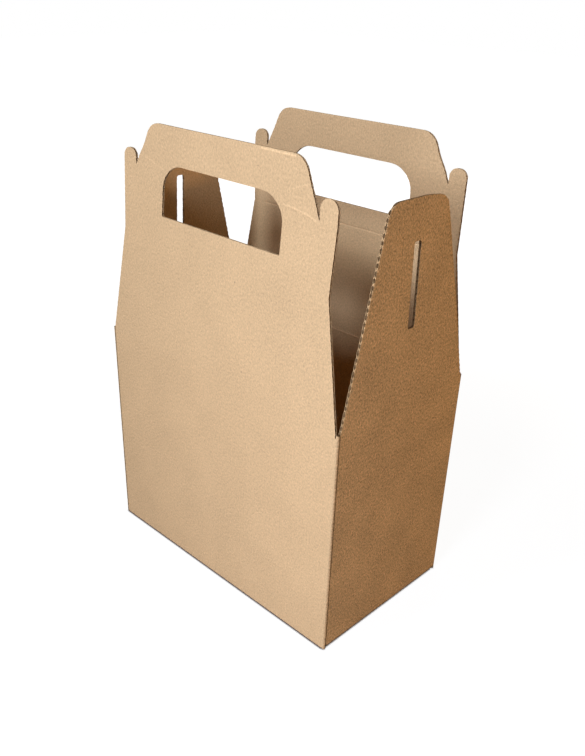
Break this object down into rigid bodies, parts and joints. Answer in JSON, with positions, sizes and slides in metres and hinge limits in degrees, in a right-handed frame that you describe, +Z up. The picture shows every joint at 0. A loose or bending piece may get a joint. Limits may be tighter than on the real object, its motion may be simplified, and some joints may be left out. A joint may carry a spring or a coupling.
{
  "type": "cardboard lunch box",
  "caption": "Folded corrugated carton with roof panels that end in handle panels with hand holes and ears, and slotted side flaps, standing open.",
  "frame": {"origin": "middle of the base, on the surface that the box stands on", "axes": "+X along the wide front towards the right side flap, +Y from the front wall to the back wall, +Z up"},
  "size_m": [0.19, 0.1111, 0.269],
  "materials": {
    "kraft_board": "brown kraft corrugated board, uncoated"
  },
  "bodies": {
    "body": {"carton_body": "kraft_board"},
    "front_roof": {"front_roof_panel": "kraft_board"},
    "front_handle": {"front_handle_panel": "kraft_board"},
    "back_roof": {"back_roof_panel": "kraft_board"},
    "back_handle": {"back_handle_panel": "kraft_board"},
    "left_flap": {"left_side_flap": "kraft_board"},
    "right_flap": {"right_side_flap": "kraft_board"}
  },
  "joints": [
    {"name": "front_roof_crease", "type": "hinge", "parent": "body", "child": "front_roof", "pos_m": [0, -0.05325, 0.1415], "axis": [-1, 0, 0], "range_deg": [-93.3, 48.4]},
    {"name": "front_handle_crease", "type": "hinge", "parent": "front_roof", "child": "front_handle", "pos_m": [0, -0.04941, 0.20809], "axis": [1, 0, 0], "range_deg": [-30, 51.7]},
    {"name": "back_roof_crease", "type": "hinge", "parent": "body", "child": "back_roof", "pos_m": [0, 0.05325, 0.1415], "axis": [1, 0, 0], "range_deg": [-88.6, 53.1]},
    {"name": "back_handle_crease", "type": "hinge", "parent": "back_roof", "child": "back_handle", "pos_m": [0, 0.05488, 0.20818], "axis": [-1, 0, 0], "range_deg": [-30, 51.7]},
    {"name": "left_side_crease", "type": "hinge", "parent": "body", "child": "left_flap", "pos_m": [-0.09425, 0, 0.1415], "axis": [0, 1, 0], "range_deg": [-92.5, 14.6]},
    {"name": "right_side_crease", "type": "hinge", "parent": "body", "child": "right_flap", "pos_m": [0.09425, 0, 0.1415], "axis": [0, -1, 0], "range_deg": [-91.5, 15.6]}
  ]
}
